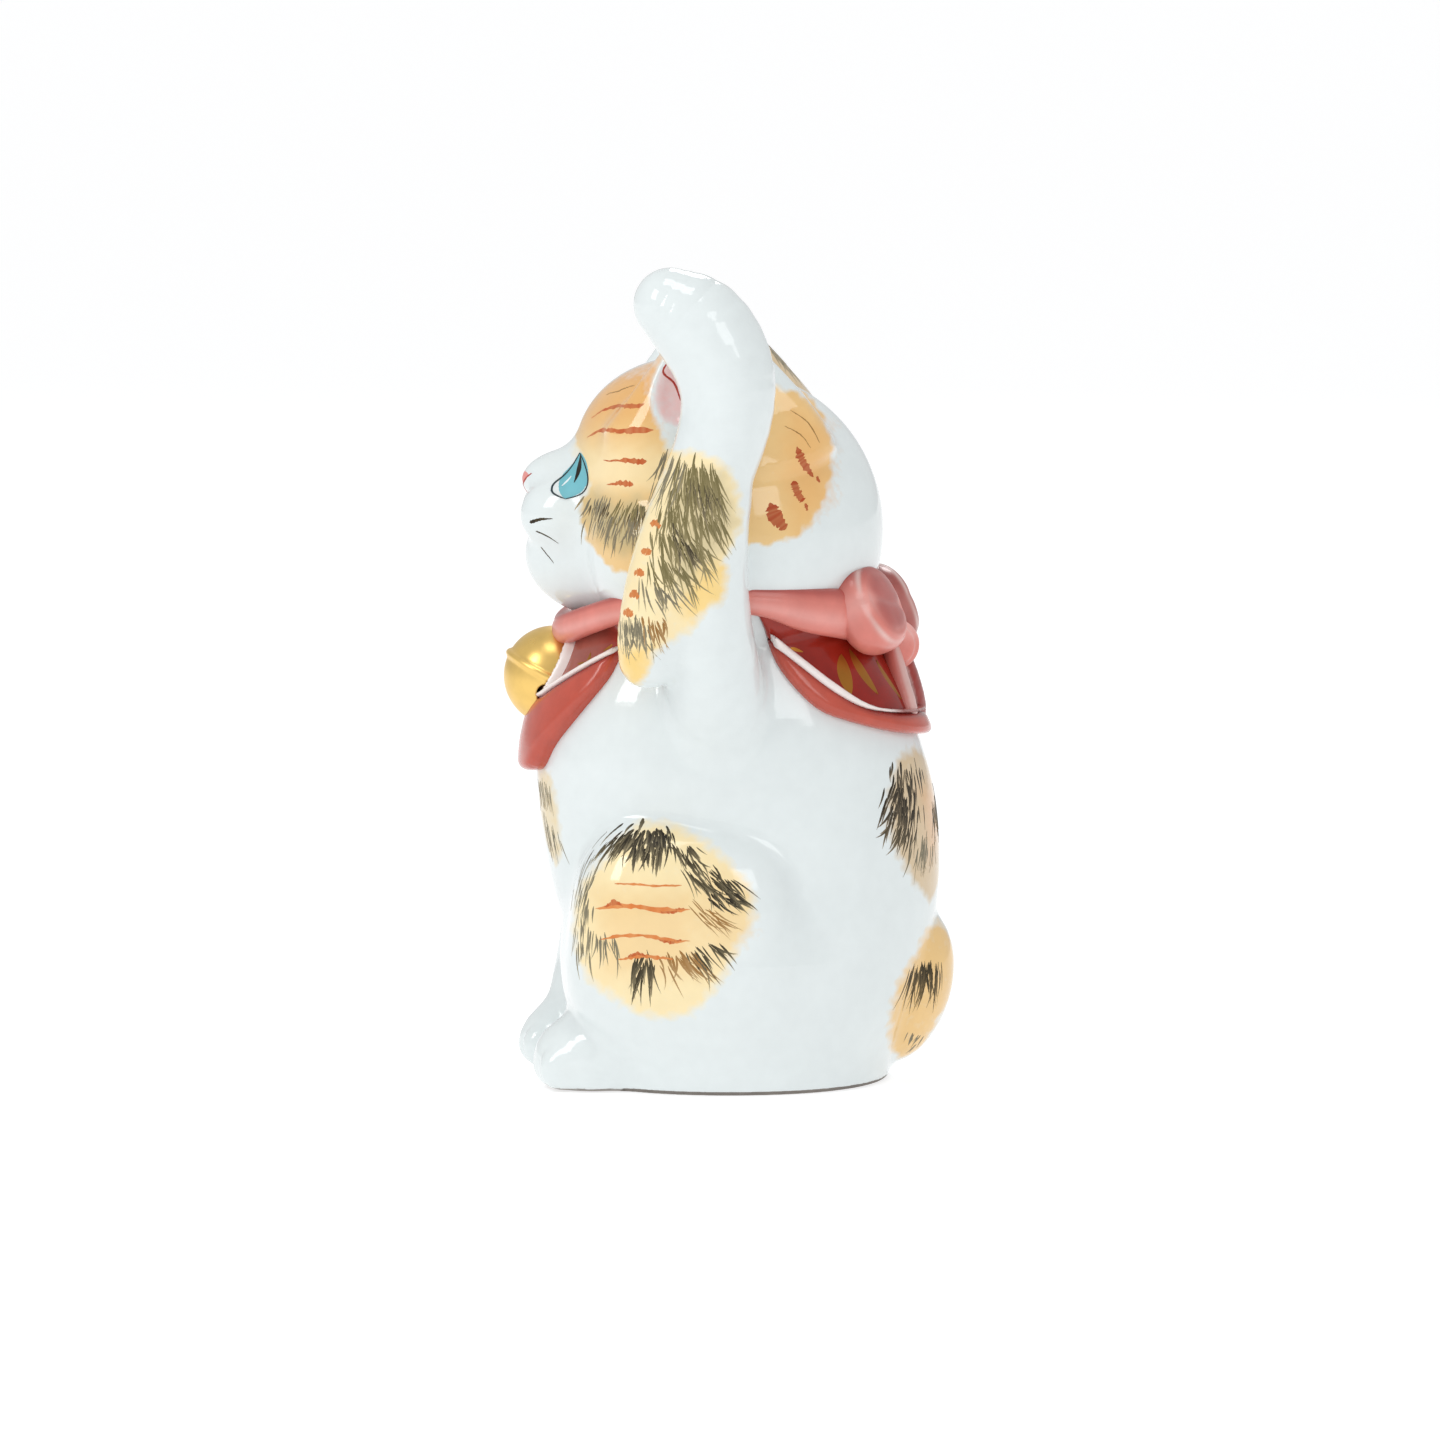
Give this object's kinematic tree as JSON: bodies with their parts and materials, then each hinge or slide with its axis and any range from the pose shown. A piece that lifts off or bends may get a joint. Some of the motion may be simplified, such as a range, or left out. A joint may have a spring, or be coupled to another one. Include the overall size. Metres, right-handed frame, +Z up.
{
  "type": "beckoning cat figurine",
  "caption": "Seated hollow porcelain cat with its left forepaw raised, a kerchief, neck band, bow and round bell, standing on a flat foot ring.",
  "frame": {"origin": "middle of the bottom of the bounding box, on the table", "axes": "+Z up, the cat faces -Y, its left side and the raised forepaw are at +X"},
  "size_m": [0.0642, 0.0658, 0.12],
  "materials": {
    "porcelain": "clear gloss glaze over white porcelain, with painted coat patches",
    "bisque": "glazed side, bare matte foot ring",
    "gilt": "satin gold overglaze on porcelain",
    "panel_enamel": "deep red transparent gloss enamel with gold leaves",
    "white_line": "raised gloss enamel line",
    "border_enamel": "coral red satin enamel",
    "ribbon_enamel": "rose red satin enamel"
  },
  "bodies": {
    "root": {"base_plate": "bisque", "bell": "gilt", "bib_back_border": "border_enamel", "bib_back_panel": "panel_enamel", "bib_back_piping": "white_line", "bib_front_border": "border_enamel", "bib_front_panel": "panel_enamel", "bib_front_piping": "white_line", "bow_knot": "ribbon_enamel", "bow_left_loop": "ribbon_enamel", "bow_left_ribbon": "ribbon_enamel", "bow_right_loop": "ribbon_enamel", "bow_right_ribbon": "ribbon_enamel", "head_shell": "porcelain", "left_ear": "porcelain", "left_hind_foot": "porcelain", "lowered_right_foreleg": "porcelain", "neck_band": "ribbon_enamel", "raised_left_foreleg": "porcelain", "right_ear": "porcelain", "right_hind_foot": "porcelain", "tail": "porcelain", "torso_shell": "porcelain"}
  },
  "joints": []
}
